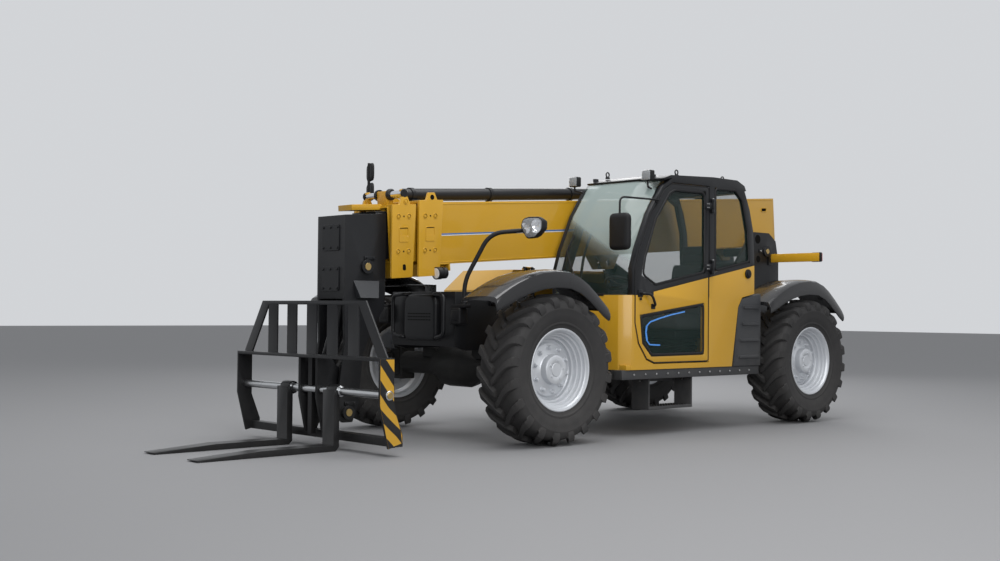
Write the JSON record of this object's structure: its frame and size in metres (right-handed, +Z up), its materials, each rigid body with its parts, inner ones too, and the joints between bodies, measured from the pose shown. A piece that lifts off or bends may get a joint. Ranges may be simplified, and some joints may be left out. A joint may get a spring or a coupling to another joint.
{
  "type": "telehandler",
  "caption": "Telescopic handler with a three-section boom on a rear pivot, fork carriage, left-hand cab and steered wheels on both axles.",
  "frame": {"origin": "on the ground, at the middle of the bounding box's bottom face", "axes": "+X forward along the boom to the forks, +Y to the driver's left, +Z up; metres"},
  "size_m": [6.925, 2.412, 2.34],
  "materials": {
    "yellow_paint": "gloss",
    "black_paint": "satin",
    "axle_paint": "satin",
    "rod_chrome": "polished",
    "shaft_steel": "brushed",
    "wheel_paint": "satin",
    "tyre_rubber": "matte",
    "tinted_glass": "clear",
    "fender_plastic": "gloss",
    "cab_plastic": "matte",
    "seat_cloth": "matte",
    "lamp_lens": "clear"
  },
  "bodies": {
    "chassis": {"chassis_frame": "black_paint", "boom_tower": "yellow_paint", "front_axle": "axle_paint", "rear_axle": "axle_paint", "cab_frame": "black_paint", "cab_body": "yellow_paint", "cab_glass": "tinted_glass", "seat": "seat_cloth", "console": "cab_plastic", "engine_tray": "black_paint", "engine_block": "axle_paint", "fenders": "fender_plastic", "sill_and_step": "black_paint", "nose_guard": "black_paint", "poles_and_mirrors": "black_paint", "lamps": "lamp_lens", "counterweight": "black_paint"},
    "door": {"door_frame": "black_paint", "door_panel": "yellow_paint", "door_glass": "tinted_glass"},
    "bonnet": {"bonnet": "yellow_paint"},
    "boom": {"boom_outer": "yellow_paint", "telescope_barrel": "black_paint"},
    "middle_section": {"boom_middle": "yellow_paint", "telescope_rod": "rod_chrome"},
    "inner_section": {"boom_inner": "black_paint"},
    "fork_carriage": {"carriage": "black_paint", "fork_shaft": "shaft_steel", "forks": "black_paint"},
    "lift_cylinder": {"lift_barrel": "black_paint"},
    "lift_cylinder_rod": {"lift_rod": "rod_chrome"},
    "tilt_cylinder": {"tilt_barrel": "black_paint"},
    "tilt_cylinder_rod": {"tilt_rod": "rod_chrome"},
    "steering_front_left": {"knuckle_front_left": "axle_paint"},
    "wheel_front_left": {"tyre_front_left": "tyre_rubber", "rim_front_left": "wheel_paint"},
    "steering_front_right": {"knuckle_front_right": "axle_paint"},
    "wheel_front_right": {"tyre_front_right": "tyre_rubber", "rim_front_right": "wheel_paint"},
    "steering_rear_left": {"knuckle_rear_left": "axle_paint"},
    "wheel_rear_left": {"tyre_rear_left": "tyre_rubber", "rim_rear_left": "wheel_paint"},
    "steering_rear_right": {"knuckle_rear_right": "axle_paint"},
    "wheel_rear_right": {"tyre_rear_right": "tyre_rubber", "rim_rear_right": "wheel_paint"}
  },
  "joints": [
    {"name": "steer_front_left", "type": "hinge", "parent": "chassis", "child": "steering_front_left", "pos_m": [0.7875, 0.823, 0.5875], "axis": [0, 0, 1], "range_deg": [-35, 35]},
    {"name": "spin_front_left", "type": "hinge", "parent": "steering_front_left", "child": "wheel_front_left", "pos_m": [0.7875, 1.003, 0.5875], "axis": [0, 1, 0], "continuous": true},
    {"name": "steer_front_right", "type": "hinge", "parent": "chassis", "child": "steering_front_right", "pos_m": [0.7875, -0.823, 0.5875], "axis": [0, 0, 1], "range_deg": [-35, 35]},
    {"name": "spin_front_right", "type": "hinge", "parent": "steering_front_right", "child": "wheel_front_right", "pos_m": [0.7875, -1.003, 0.5875], "axis": [0, 1, 0], "continuous": true},
    {"name": "steer_rear_left", "type": "hinge", "parent": "chassis", "child": "steering_rear_left", "pos_m": [-2.6425, 0.823, 0.5875], "axis": [0, 0, 1], "range_deg": [-35, 35]},
    {"name": "spin_rear_left", "type": "hinge", "parent": "steering_rear_left", "child": "wheel_rear_left", "pos_m": [-2.6425, 1.003, 0.5875], "axis": [0, 1, 0], "continuous": true},
    {"name": "steer_rear_right", "type": "hinge", "parent": "chassis", "child": "steering_rear_right", "pos_m": [-2.6425, -0.823, 0.5875], "axis": [0, 0, 1], "range_deg": [-35, 35]},
    {"name": "spin_rear_right", "type": "hinge", "parent": "steering_rear_right", "child": "wheel_rear_right", "pos_m": [-2.6425, -1.003, 0.5875], "axis": [0, 1, 0], "continuous": true},
    {"name": "boom_lift", "type": "hinge", "parent": "chassis", "child": "boom", "pos_m": [-3.1425, 0, 1.68], "axis": [0, -1, 0], "range_deg": [0, 70]},
    {"name": "middle_slide", "type": "slide", "parent": "boom", "child": "middle_section", "axis": [0.9973, 0, -0.0732], "range_m": [0, 3.8]},
    {"name": "inner_slide", "type": "slide", "parent": "middle_section", "child": "inner_section", "axis": [0.9973, 0, -0.0732], "range_m": [0, 3.8]},
    {"name": "carriage_tilt", "type": "hinge", "parent": "inner_section", "child": "fork_carriage", "pos_m": [2.0975, 0, 0.262], "axis": [0, 1, 0], "range_deg": [-10, 100]},
    {"name": "lift_barrel_swing", "type": "hinge", "parent": "chassis", "child": "lift_cylinder", "pos_m": [-2.4325, 0, 0.8], "axis": [0, -1, 0], "range_deg": [0, 61]},
    {"name": "lift_rod_slide", "type": "slide", "parent": "lift_cylinder", "child": "lift_cylinder_rod", "axis": [0.9028, 0, 0.4301], "range_m": [0, 1.25]},
    {"name": "tilt_barrel_swing", "type": "hinge", "parent": "inner_section", "child": "tilt_cylinder", "pos_m": [1.9275, 0, 1.37], "axis": [0, 1, 0], "range_deg": [-7.5, 1]},
    {"name": "tilt_rod_slide", "type": "slide", "parent": "tilt_cylinder", "child": "tilt_cylinder_rod", "axis": [0.2968, 0, -0.9549], "range_m": [-0.05, 0.485]},
    {"name": "cab_door", "type": "hinge", "parent": "chassis", "child": "door", "pos_m": [-1.1725, 1.12, 1.4], "axis": [0, 0, 1], "range_deg": [0, 95]},
    {"name": "bonnet_lid", "type": "hinge", "parent": "chassis", "child": "bonnet", "pos_m": [-0.9125, -0.402, 1.44], "axis": [-1, 0, 0], "range_deg": [0, 65]}
  ],
  "couplings": [
    {"joint": "steer_front_right", "follows": "steer_front_left", "ratio": 1},
    {"joint": "steer_rear_right", "follows": "steer_rear_left", "ratio": 1},
    {"joint": "inner_slide", "follows": "middle_slide", "ratio": 1},
    {"joint": "lift_barrel_swing", "follows": "boom_lift", "ratio": 0.8637},
    {"joint": "lift_rod_slide", "follows": "boom_lift", "m_per_rad": 1.0203},
    {"joint": "tilt_barrel_swing", "follows": "carriage_tilt", "ratio": -0.07},
    {"joint": "tilt_rod_slide", "follows": "carriage_tilt", "m_per_rad": 0.275}
  ]
}
